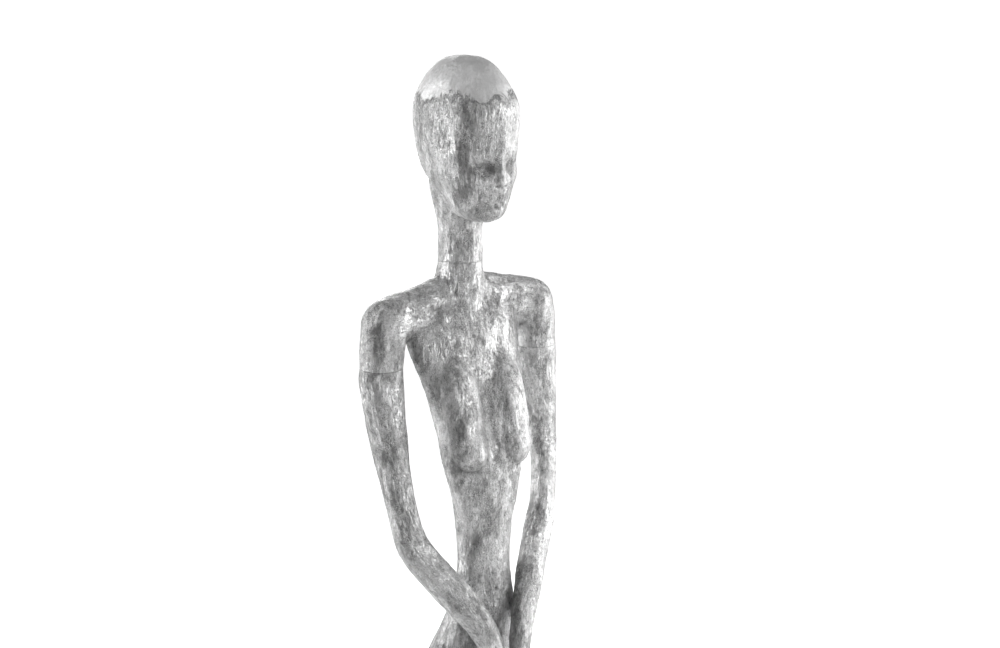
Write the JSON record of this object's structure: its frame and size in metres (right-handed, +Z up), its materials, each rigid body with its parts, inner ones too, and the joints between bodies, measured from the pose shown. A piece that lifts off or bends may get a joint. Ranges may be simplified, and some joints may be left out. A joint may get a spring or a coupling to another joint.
{
  "type": "full body mannequin",
  "caption": "Slender full body display mannequin in silver leaf, hands together in front, with turning head, arms and hands, on a round base plate with a calf rod.",
  "frame": {"origin": "middle of the base plate's footprint on the floor, at the underside of the rubber pads", "axes": "+Z up, the figure faces -Y, its left side is towards +X"},
  "size_m": [0.38, 0.38, 1.8427],
  "materials": {
    "silver_leaf": "tarnished silver leaf over a hand-carved resin surface",
    "zinc_fitting": "zinc plated, matt",
    "base_steel": "fine circular brushing",
    "pad_rubber": "matt black"
  },
  "bodies": {
    "standing_figure": {"torso_shell": "silver_leaf", "pelvis_and_right_leg": "silver_leaf", "left_leg": "silver_leaf", "hip_socket_plate": "zinc_fitting", "hip_peg_plate": "zinc_fitting", "thigh_socket_plate": "zinc_fitting", "thigh_peg_plate": "zinc_fitting", "neck_socket_plate": "zinc_fitting", "right_shoulder_plate": "zinc_fitting", "left_shoulder_plate": "zinc_fitting", "base_plate": "base_steel", "rod_flange": "base_steel", "support_rod": "base_steel", "calf_socket": "base_steel", "rod_thumb_screw": "base_steel", "flange_screw_1": "base_steel", "flange_screw_2": "base_steel", "flange_screw_3": "base_steel", "base_pad_1": "pad_rubber", "base_pad_2": "pad_rubber", "base_pad_3": "pad_rubber", "base_pad_4": "pad_rubber"},
    "head": {"head_shell": "silver_leaf", "neck_peg_plate": "zinc_fitting"},
    "right_arm_body": {"right_arm": "silver_leaf", "right_arm_plate": "zinc_fitting", "right_wrist_plate": "zinc_fitting"},
    "left_arm_body": {"left_arm": "silver_leaf", "left_arm_plate": "zinc_fitting", "left_wrist_plate": "zinc_fitting"},
    "right_hand_body": {"right_hand": "silver_leaf", "right_hand_plate": "zinc_fitting"},
    "left_hand_body": {"left_hand": "silver_leaf", "left_hand_plate": "zinc_fitting"}
  },
  "joints": [
    {"name": "neck_turn", "type": "hinge", "parent": "standing_figure", "child": "head", "pos_m": [0, 0.031, 1.556], "axis": [0, 0, 1], "range_deg": [-45, 45]},
    {"name": "right_arm_turn", "type": "hinge", "parent": "standing_figure", "child": "right_arm_body", "pos_m": [-0.13, 0.034, 1.417], "axis": [0, 0, -1], "range_deg": [0, 60]},
    {"name": "right_wrist_turn", "type": "hinge", "parent": "right_arm_body", "child": "right_hand_body", "pos_m": [-0.019, -0.087, 0.978], "axis": [0, 0, -1], "range_deg": [-25, 25]},
    {"name": "left_arm_turn", "type": "hinge", "parent": "standing_figure", "child": "left_arm_body", "pos_m": [0.13, 0.034, 1.417], "axis": [0, 0, 1], "range_deg": [0, 60]},
    {"name": "left_wrist_turn", "type": "hinge", "parent": "left_arm_body", "child": "left_hand_body", "pos_m": [0.019, -0.087, 0.978], "axis": [0, 0, 1], "range_deg": [-25, 25]}
  ]
}
